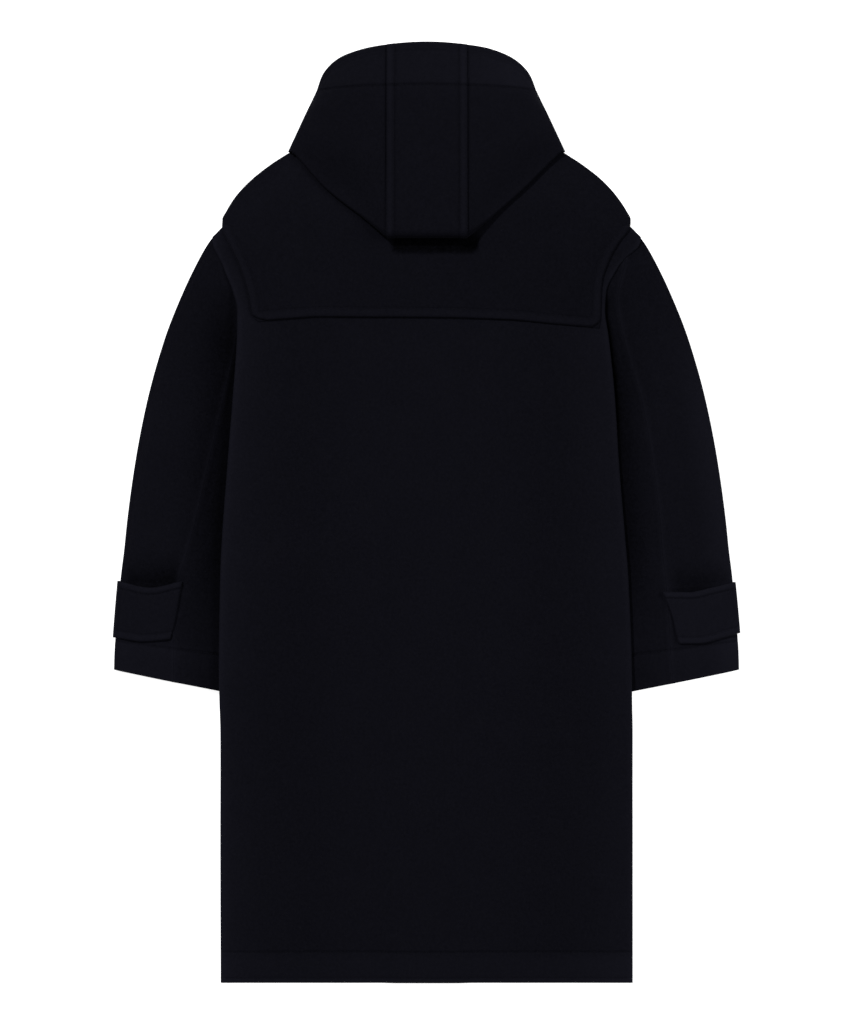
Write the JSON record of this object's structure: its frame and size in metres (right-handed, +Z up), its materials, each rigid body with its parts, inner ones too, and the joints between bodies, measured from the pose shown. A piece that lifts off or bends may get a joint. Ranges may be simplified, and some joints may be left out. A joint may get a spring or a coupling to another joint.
{
  "type": "duffle coat",
  "caption": "Long hooded duffle coat laid flat face down, with a shoulder yoke, cuff straps and the hood folded onto its back.",
  "frame": {"origin": "on the surface that the coat lies on, below the middle of its outline", "axes": "+Y from the hem towards the hood, +X to the right seen from above with the back facing up, +Z up from the surface"},
  "size_m": [0.8284, 1.244, 0.038],
  "materials": {
    "navy_melton": "milled wool, soft short nap"
  },
  "bodies": {
    "root": {"back_panel": "navy_melton", "yoke": "navy_melton", "front_left": "navy_melton", "front_right": "navy_melton", "sleeve_outer_left": "navy_melton", "sleeve_inner_left": "navy_melton", "sleeve_outer_right": "navy_melton", "sleeve_inner_right": "navy_melton", "cuff_strap_left": "navy_melton", "cuff_strap_right": "navy_melton", "hood_centre": "navy_melton", "hood_side_left": "navy_melton", "hood_side_right": "navy_melton"}
  },
  "joints": []
}
